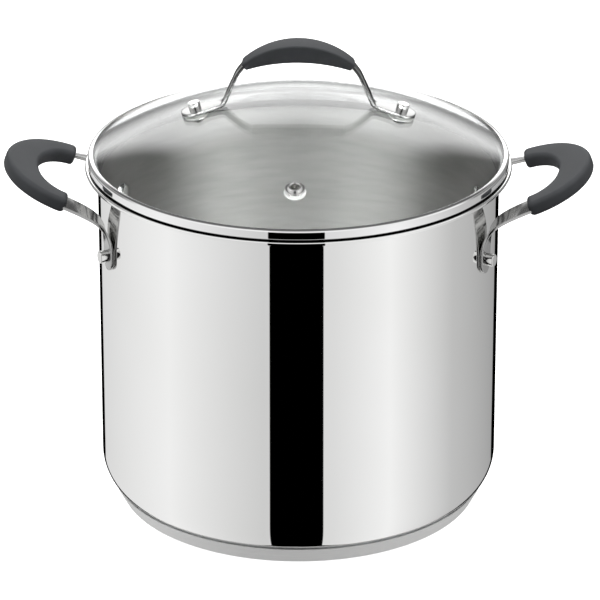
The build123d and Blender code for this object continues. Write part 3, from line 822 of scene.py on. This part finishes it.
def build_lid_glass():
    """Glass dome with a rounded rim, drilled for the two rivets and the vent."""
    rim = degrees(asin(GLASS_RADIUS / DOME_RADIUS))
    low_rim = degrees(asin(GLASS_RADIUS / DOME_INNER))
    center = (0, DOME_CENTER)
    outline = arc(center, DOME_RADIUS, 90, 90 - rim, 48)
    outline += arc(center, DOME_INNER, 90 - low_rim, 90, 48)
    edge = outline.index(min(outline, key=lambda p: abs(p[0] - GLASS_RADIUS)))
    outline = rounded(outline, [MM if edge <= i + 1 <= edge + 1 else 0 for i in range(len(outline) - 2)])
    shape = Shape()
    shape.lathe(outline, 192)
    piece = make_piece("lid_glass", "lid", shape, [glass])
    holes = [(at, LID_SLEEVE + SEAT_GAP) for at in lid_rivet_frames()]
    drill(piece, holes + [(dome_frame(0, VENT_Y), VENT_SLEEVE + SEAT_GAP)])


def build_lid_band():
    """Rolled band: lip over the glass, flange on the rim, stepped skirt inside the pot."""
    top = BAND_BOTTOM + BAND_SHEET
    wall = BAND_RADIUS - BAND_SHEET
    edge = dome_height(GLASS_RADIUS)
    shoulder = edge - 1.6 * MM
    lip_under = dome_height(BAND_LIP_RADIUS) + SEAT_GAP
    lip_top = lip_under + BAND_SHEET * 0.8
    corners = [
        (BAND_LIP_RADIUS, lip_under),
        (BAND_LIP_RADIUS, lip_top),
        (BAND_LIP_RADIUS + 2.2 * MM, edge + 1.0 * MM),
        (BAND_RADIUS, edge + 0.2 * MM),
        (BAND_RADIUS, BAND_BOTTOM),
        (SKIRT_TOP_RADIUS + BAND_SHEET, BAND_BOTTOM),
        (SKIRT_RADIUS + BAND_SHEET, SKIRT_SHOULDER),
        (SKIRT_RADIUS + BAND_SHEET, SKIRT_BOTTOM),
        (SKIRT_RADIUS, SKIRT_BOTTOM),
        (SKIRT_RADIUS, SKIRT_SHOULDER),
        (SKIRT_TOP_RADIUS, top),
        (wall, top),
        (wall, shoulder),
        (BAND_LIP_RADIUS + 1.4 * MM, edge + 0.1 * MM),
        (BAND_LIP_RADIUS, lip_under),
    ]
    edge_radii = [0.25 * MM, 3.0 * MM, 1.6 * MM, BAND_CORNER]
    skirt_radii = [r * MM for r in (0.6, 1.2, 0.2, 0.2, 1.0, 0.8)]
    inner_radii = [BAND_CORNER - BAND_SHEET, MM, MM]
    outline = rounded(corners, edge_radii + skirt_radii + inner_radii, 8)[:-1]
    shape = Shape()
    shape.lathe(outline, BIG_LATHE, loop=True)
    make_piece("lid_rim_band", "lid", shape, [band])


def pad_half_width(up_slope):
    """Half width of the lid strap's foot at a distance up the slope from its rivet."""
    taper_start, taper_end = LID_PAD_TAPER
    if up_slope < taper_start:
        return sqrt(LID_PAD_RADIUS**2 - up_slope**2)
    share = (up_slope - taper_start) / (taper_end - taper_start)
    shoulder = sqrt(LID_PAD_RADIUS**2 - taper_start**2)
    return shoulder + (LID_STRAP_WIDTH / 2 - shoulder) * share


def build_lid_strap():
    """Bent flat strap whose round feet follow the slope of the dome."""
    at = lid_rivet_frames()[1]
    up_slope, out = at.col[0].xyz, at.col[2].xyz
    foot = at.translation + out * (foot_base() + LID_STRAP_THICKNESS / 2)
    reach = LID_STRAP_WIDTH / 2
    bend = foot + up_slope * LID_FOOT_RUN
    taper_start, taper_end = LID_PAD_TAPER
    tip_steps = 14
    places = []
    tip_turn = 0.1
    for i in range(tip_steps):
        turn = tip_turn + (pi / 2 - tip_turn) * i / (tip_steps - 1)
        places.append(-LID_PAD_RADIUS * cos(turn))
    places += [taper_start * (i + 1) / 3 for i in range(3)]
    places += [taper_start + (taper_end - taper_start) * (i + 1) / 6 for i in range(6)]
    pad = []
    for place in places:
        point = foot + up_slope * place
        pad.append(((point.x, point.z), pad_half_width(place)))
    corners = [pad[-1][0], (bend.x, bend.z), LEG_TOP, GRIP_ENTRY, STRAP_CROWN]
    corners += [(-x, z) for x, z in reversed(corners)]
    radii = [5, 24, 16, 28]
    path = rounded(corners, [r * MM for r in radii + radii[::-1]], 14)
    line = pad + [(p, reach) for p in path[1:-1]]
    line += [((-p[0], p[1]), half) for p, half in reversed(pad)]
    rings = []
    for i, (point, half) in enumerate(line):
        before = Vector(line[max(i - 1, 0)][0])
        after = Vector(line[min(i + 1, len(line) - 1)][0])
        along = (after - before).normalized()
        section = rounded_box(half, LID_STRAP_THICKNESS / 2, LID_STRAP_ROUNDING)
        rings.append([Vector((point[0] - along.y * z, y, point[1] + along.x * z)) for y, z in section])
    shape = Shape()
    shape.skin(rings, capped=True)
    make_piece("lid_handle_strap", "lid", shape, [strap_steel])


def bow_height(x, end, middle):
    """Height at x of the arc through a middle height and two equal ends."""
    sag = middle - end[1]
    radius = (end[0] ** 2 + sag**2) / (2 * sag)
    return middle - radius + sqrt(radius**2 - x * x)


def build_lid_grip():
    """Crescent grip: flat crowned top with a crisp edge, deep sides, narrow ends."""
    low_x, high_x = LID_GRIP_LOW[0], LID_GRIP_HIGH[0]
    steps = 64
    rings = []
    for i in range(steps + 1):
        share = -cos(pi * i / steps)
        top_x, under_x = high_x * share, low_x * share
        top = bow_height(top_x, LID_GRIP_HIGH, LID_GRIP_CROWN)
        under = bow_height(under_x, LID_GRIP_LOW, LID_GRIP_BELLY)
        from_end = low_x * (1 - abs(share))
        inset = end_inset(from_end, LID_GRIP_ROUNDING)
        bulge = (LID_GRIP_WIDTH - LID_GRIP_END_WIDTH) / 2
        half_width = LID_GRIP_END_WIDTH / 2 + bulge * (1 - share * share) - inset
        half_height = (top - under) / 2 - inset
        lean = (top_x - under_x) / 2
        middle_x, middle_z = (top_x + under_x) / 2, (top + under) / 2
        section = rounded_box(half_width, half_height, max(LID_GRIP_ROUNDING - inset, 0.2 * MM), 5)
        rings.append([
            Vector((middle_x + lean * z / max(half_height, MM), y, middle_z + z)) for y, z in section
        ])
    shape = Shape()
    shape.skin(rings, capped=True)
    make_piece("lid_handle_grip", "lid", shape, [polymer])


def build_lid_fasteners():
    """Rivets, washers and gaskets that clamp the handle feet to the glass."""
    head = foot_base() + LID_STRAP_THICKNESS + SEAT_GAP
    gasket_top = under_glass(LID_GASKET_RADIUS)
    washer_top = gasket_top - LID_GASKET - SEAT_GAP
    tail = washer_top - LID_WASHER - SEAT_GAP
    rivet = rounded([
        (0, tail - LID_TAIL), (LID_TAIL_RADIUS, tail - LID_TAIL), (LID_TAIL_RADIUS, tail),
        (LID_SHANK, tail), (LID_SHANK, head), (LID_HEAD_RADIUS, head),
        (LID_HEAD_RADIUS, head + LID_HEAD), (0, head + LID_HEAD),
    ], [1.4 * MM, 0, 0, 0, 0.1 * MM, 0.5 * MM], 6)
    bore = LID_SHANK + SEAT_GAP
    gasket = [
        (bore, gasket_top - LID_GASKET), (LID_GASKET_RADIUS, gasket_top - LID_GASKET),
        (LID_GASKET_RADIUS, gasket_top), (LID_SLEEVE, gasket_top),
        (LID_SLEEVE, -SEAT_GAP), (bore, -SEAT_GAP),
    ]
    gasket = rounded(gasket, [0.2 * MM, 0.2 * MM, 0, 0], 3)
    stack = {
        "lid_handle_rivets": (rivet, False, rivet_steel, "rivet_steel"),
        "lid_foot_washers": (
            washer_outline(bore, FOOT_WASHER_RADIUS, SEAT_GAP, SEAT_GAP + FOOT_WASHER, 0.3 * MM),
            True, rivet_steel, "rivet_steel"),
        "lid_under_gaskets": (gasket, True, rubber, "gasket_silicone"),
        "lid_under_washers": (
            washer_outline(bore, LID_WASHER_RADIUS, washer_top - LID_WASHER, washer_top, 0.25 * MM),
            True, rivet_steel, "rivet_steel"),
    }
    for node, (outline, loop, material, slot) in stack.items():
        shape = Shape()
        for at in lid_rivet_frames():
            shape.lathe(outline, 64, at, loop=loop)
        make_piece(node, "lid", shape, [material])


def build_vent():
    """Steam vent: eyelet with a raised collar, its gasket and its washer."""
    at = dome_frame(0, VENT_Y)
    gasket_top = under_glass(VENT_GASKET_RADIUS)
    washer_top = gasket_top - VENT_GASKET - SEAT_GAP
    roll_top = washer_top - VENT_WASHER - SEAT_GAP
    bore = VENT_TUBE + SEAT_GAP
    eyelet = rounded([
        (VENT_HOLE, roll_top - VENT_ROLL), (VENT_ROLL_RADIUS, roll_top - VENT_ROLL),
        (VENT_ROLL_RADIUS, roll_top), (VENT_TUBE, roll_top), (VENT_TUBE, SEAT_GAP),
        (VENT_FLANGE_RADIUS, SEAT_GAP), (VENT_FLANGE_RADIUS, SEAT_GAP + VENT_FLANGE),
        (VENT_COLLAR_RADIUS, SEAT_GAP + VENT_FLANGE), (VENT_COLLAR_RADIUS, VENT_COLLAR_TOP),
        (VENT_HOLE, VENT_COLLAR_TOP), (VENT_HOLE, roll_top),
    ], [r * MM for r in (0.4, 0.2, 0, 0, 0.2, 0.5, 0.3, 0.75, 0.6)], 6)
    gasket = rounded([
        (bore, gasket_top - VENT_GASKET), (VENT_GASKET_RADIUS, gasket_top - VENT_GASKET),
        (VENT_GASKET_RADIUS, gasket_top), (VENT_SLEEVE, gasket_top),
        (VENT_SLEEVE, -SEAT_GAP), (bore, -SEAT_GAP),
    ], [0.2 * MM, 0.2 * MM, 0, 0], 3)
    washer = washer_outline(bore, VENT_WASHER_RADIUS, washer_top - VENT_WASHER, washer_top, 0.2 * MM)
    for node, outline, material, slot in (
        ("vent_eyelet", eyelet, rivet_steel, "rivet_steel"),
        ("vent_gasket", gasket, rubber, "gasket_silicone"),
        ("vent_washer", washer, rivet_steel, "rivet_steel"),
    ):
        shape = Shape()
        shape.lathe(outline, 64, at, loop=True)
        make_piece(node, "lid", shape, [material])


# ---------------------------------------------------------------- jar rack


def add_rod(shape, a, b, radius, rounding=0.8 * MM):
    """Straight rod with softened ends."""
    a, b = Vector(a), Vector(b)
    along = (b - a).normalized()
    side_way = along.orthogonal().normalized()
    at = on_frame(a, side_way, along)
    corners = [(0, 0), (radius, 0), (radius, (b - a).length), (0, (b - a).length)]
    shape.lathe(rounded(corners, [rounding, rounding], 4), 24, at)


def add_weld(shape, point, size=WELD):
    """Small squashed bead where two wires are spot welded."""
    outline = [(size * 1.5 * cos(radians(t)), size * 0.75 * sin(radians(t))) for t in range(-90, 91, 18)]
    shape.lathe(outline, 16, Matrix.Translation(point))


def build_rack():
    """Flat wire rack: ring, parallel jar wires, two bars below them, four U-shaped legs."""
    ring = Shape()
    ring.lathe(arc((RING_RADIUS, RING_Z), RING_WIRE / 2, 0, 345, 23), 160, loop=True)
    make_piece("rack_rim_ring", "rack", ring, [wire_steel], sharp=80)
    wires = Shape()
    height = RING_Z + (RING_WIRE + RACK_WIRE) / 2 + SEAT_GAP
    weld_z = RING_Z + RING_WIRE / 2
    for i in range(-RACK_PAIRS, RACK_PAIRS + 1):
        y = i * RACK_PITCH
        half = sqrt((RING_RADIUS + 1.5 * MM) ** 2 - y * y)
        add_rod(wires, (-half, y, height), (half, y, height), RACK_WIRE / 2)
        ring_x = sqrt(RING_RADIUS**2 - y * y)
        bars = [RACK_BAR_X] if abs(y) < sqrt(RING_RADIUS**2 - RACK_BAR_X**2) - 5 * MM else []
        for x in [ring_x] + bars:
            for side in (-1, 1):
                add_weld(wires, Vector((side * x, y, weld_z)))
    make_piece("rack_jar_wires", "rack", wires, [wire_steel], sharp=80)
    bars = Shape()
    for side in (-1, 1):
        x = side * RACK_BAR_X
        half = sqrt((RING_RADIUS - RING_WIRE / 2) ** 2 - RACK_BAR_X**2)
        add_rod(bars, (x, -half, RING_Z), (x, half, RING_Z), RING_WIRE / 2)
    make_piece("rack_cross_bars", "rack", bars, [wire_steel], sharp=80)
    legs = Shape()
    top = RING_Z - RING_WIRE / 2 - SEAT_GAP
    low = FLOOR_TOP + SEAT_GAP + RACK_WIRE / 2
    half = LEG_SPAN / 2
    path = rounded([(-half, top), (-half, low), (half, low), (half, top)], [LEG_BEND, LEG_BEND], 12)
    chord = sqrt(RING_RADIUS**2 - half**2)
    for i in range(RACK_LEGS):
        turn = Matrix.Rotation(2 * pi / RACK_LEGS * (i + 0.5), 4, "Z")
        rings = []
        for k, point in enumerate(path):
            before, after = Vector(path[max(k - 1, 0)]), Vector(path[min(k + 1, len(path) - 1)])
            along = (after - before).normalized()
            ring_points = []
            for n in range(20):
                t = 2 * pi * n / 20
                side_way, depth = RACK_WIRE / 2 * cos(t), RACK_WIRE / 2 * sin(t)
                x, z = point[0] - along.y * side_way, point[1] + along.x * side_way
                ring_points.append(turn @ Vector((x, chord + depth, z)))
            rings.append(ring_points)
        legs.skin(rings, capped=True)
        for side in (-1, 1):
            add_weld(legs, turn @ Vector((side * half, chord, top)))
    make_piece("rack_legs", "rack", legs, [wire_steel], sharp=80)


# ---------------------------------------------------------------- studio


def build_studio():
    """White floor that is left out of reflections and of the light on dull surfaces."""
    mesh = bpy.data.meshes.new("studio_floor")
    half = FLOOR_SIZE / 2
    corners = [(-half, -half, 0), (half, -half, 0), (half, half, 0), (-half, half, 0)]
    mesh.from_pydata(corners, [], [(0, 1, 2, 3)])
    floor = bpy.data.objects.new("studio_floor", mesh)
    bpy.context.scene.collection.objects.link(floor)
    material, nodes = new_material("studio_floor")
    nodes.surface({
        "Base Color": (0.9, 0.9, 0.9, 1),
        "Roughness": 0.9,
        "Emission Color": (1, 1, 1, 1),
        "Emission Strength": FLOOR_GLOW,
    })
    mesh.materials.append(material)
    floor.visible_glossy = False
    floor.visible_diffuse = False


def build_world():
    """Studio laid out by the way a surface must face to mirror each part of it to the front.

    Upright surfaces see panels with a black gap between them and black ends.  Surfaces that face up
    see broad panels, with darker strips at each side, and one more panel stands behind the pot.
    Dull surfaces and the light through the glass have levels of their own.
    """
    world = bpy.data.worlds.new("studio")
    bpy.context.scene.world = world
    world.use_nodes = True
    nodes = Nodes(world.node_tree)

    def turn_of(outputs):
        """Angle to the left or right of the front, in turns, 0.5 at the front."""
        turn = nodes.math("ARCTAN2", outputs["X"], nodes.math("MULTIPLY", outputs["Y"], -1.0))
        return nodes.math("ADD", nodes.math("DIVIDE", turn, 2 * pi), 0.5)

    def off_front(turn):
        return nodes.math("ABSOLUTE", nodes.math("SUBTRACT", turn, 0.5))

    def portion(value, low, high):
        """0 at the low value and 1 at the high one."""
        inputs = {"Value": value, "From Min": low, "From Max": high}
        return nodes.add("ShaderNodeMapRange", inputs).outputs[0]

    def past(turn, angles):
        return portion(turn, angles[0] / 360, angles[1] / 360)

    def panels(place, table, low, high):
        return nodes.ramp(place, [((where - low) / (high - low), level) for where, level in table])

    def by_height(table):
        return panels(portion(way["Z"], -1, 1), table, -1, 1)

    def mixed(amount, a, b, blend_type="MIX"):
        inputs = {"Factor": amount, "A": a, "B": b}
        mix = nodes.add("ShaderNodeMix", inputs, data_type="RGBA", blend_type=blend_type)
        return mix.outputs["Result"]

    def between(turn, angles):
        low, high = (angle / 360 + 0.5 for angle in angles)
        blur = EDGE_BLUR / 360
        after = portion(turn, low - blur, low + blur)
        return nodes.math("MULTIPLY", after, portion(turn, high + blur, high - blur))

    turned = nodes.add("ShaderNodeMapping", {
        "Vector": nodes.add("ShaderNodeTexCoord").outputs["Generated"],
        "Rotation": (0, 0, -CAMERA_TURN),
    }).outputs[0]
    way = nodes.add("ShaderNodeSeparateXYZ", {0: turned}).outputs
    front = (0, -cos(CAMERA_ELEVATION), sin(CAMERA_ELEVATION))
    half_way = nodes.add("ShaderNodeVectorMath", {0: turned, 1: front}, operation="ADD").outputs[0]
    facing_way = nodes.add("ShaderNodeVectorMath", {0: half_way}, operation="NORMALIZE").outputs[0]
    facing = nodes.add("ShaderNodeSeparateXYZ", {0: facing_way}).outputs
    way_turn, facing_turn = turn_of(way), turn_of(facing)
    black = (0, 0, 0, 1)

    top = mixed(
        past(off_front(facing_turn), TOP_SIDES_FROM),
        panels(facing["Z"], TOP_PANEL, 0, 1),
        panels(facing["Z"], TOP_SIDE_PANELS, 0, 1))
    top = mixed(
        past(off_front(facing_turn), TOP_BACK_FROM), top, panels(facing["Z"], TOP_BACK_PANEL, 0, 1))
    sides = panels(portion(facing_turn, 0.25, 0.75), SIDE_PANELS, -90, 90)
    sides = mixed(between(facing_turn, BLACK_STRIP), sides, black)
    sides = mixed(between(way_turn, BLACK_BEHIND), black, sides)
    top_start = TOP_PANEL[0][0]
    mirrored = mixed(portion(facing["Z"], top_start - TOP_BLEND, top_start), sides, top)

    pot_panels = panels(portion(off_front(way_turn), 0.0, 0.5), POT_PANELS, 0, 180)
    into_pot = mixed(1.0, by_height(POT_LEVELS), pot_panels, "MULTIPLY")
    dome_view = (DOME_VIEW / LIGHT_INTO_POT,) * 3 + (1,)
    through = mixed(portion(way["Z"], -0.05, 0.0), dome_view, into_pot)

    height_range = nodes.math(
        "MULTIPLY", portion(way["Z"], *BEHIND_BOTTOM), portion(way["Z"], *BEHIND_TOP))
    behind = nodes.math("MULTIPLY", past(off_front(way_turn), BEHIND_FROM), height_range)
    behind_level = by_height(BEHIND_LEVELS)
    mirrored = mixed(behind, mirrored, nodes.math("MULTIPLY", behind_level, LIGHT_BEHIND))
    through = mixed(
        behind, through, nodes.math("MULTIPLY", behind_level, LIGHT_BEHIND / LIGHT_INTO_POT))

    path = nodes.add("ShaderNodeLightPath").outputs
    lighting = nodes.add("ShaderNodeBackground", {"Color": mirrored, "Strength": 1.0}).outputs[0]
    for ray, color, strength in (
        ("Is Diffuse Ray", by_height(SOFT_LEVELS), SOFT_LIGHT),
        ("Is Transmission Ray", through, LIGHT_INTO_POT),
        ("Is Camera Ray", (1, 1, 1, 1), 1.0),
    ):
        other = nodes.add("ShaderNodeBackground", {"Color": color, "Strength": strength}).outputs[0]
        lighting = nodes.add("ShaderNodeMixShader", {0: path[ray], 1: lighting, 2: other}).outputs[0]
    nodes.add("ShaderNodeOutputWorld", {"Surface": lighting})


def build_camera():
    """Long lens, raised about 23 degrees and turned a little towards +X."""
    camera = bpy.data.cameras.new("camera")
    camera.lens = CAMERA_LENS
    camera.sensor_width = 36.0
    holder = bpy.data.objects.new("camera", camera)
    bpy.context.scene.collection.objects.link(holder)
    back = Vector((
        sin(CAMERA_TURN) * cos(CAMERA_ELEVATION),
        -cos(CAMERA_TURN) * cos(CAMERA_ELEVATION),
        sin(CAMERA_ELEVATION),
    ))
    holder.location = CAMERA_AIM + back * CAMERA_DISTANCE
    holder.rotation_euler = (-back).to_track_quat("-Z", "Y").to_euler()
    bpy.context.scene.camera = holder


build_camera()
build_studio()
build_world()
scene = bpy.context.scene
scene.view_settings.view_transform = "Standard"
scene.cycles.max_bounces = 20
scene.cycles.glossy_bounces = 14
scene.cycles.transmission_bounces = 12

build_pot_shell()
build_base_cap()
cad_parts["base_core_disc"].material_slots[0].material = aluminium
for side, name in ((1, "right"), (-1, "left")):
    build_side_strap(side, name)
    build_side_grip(side, name)
    build_side_rivets(side, name)
build_lid_glass()
build_lid_band()
build_lid_strap()
build_lid_grip()
build_lid_fasteners()
build_vent()
build_rack()
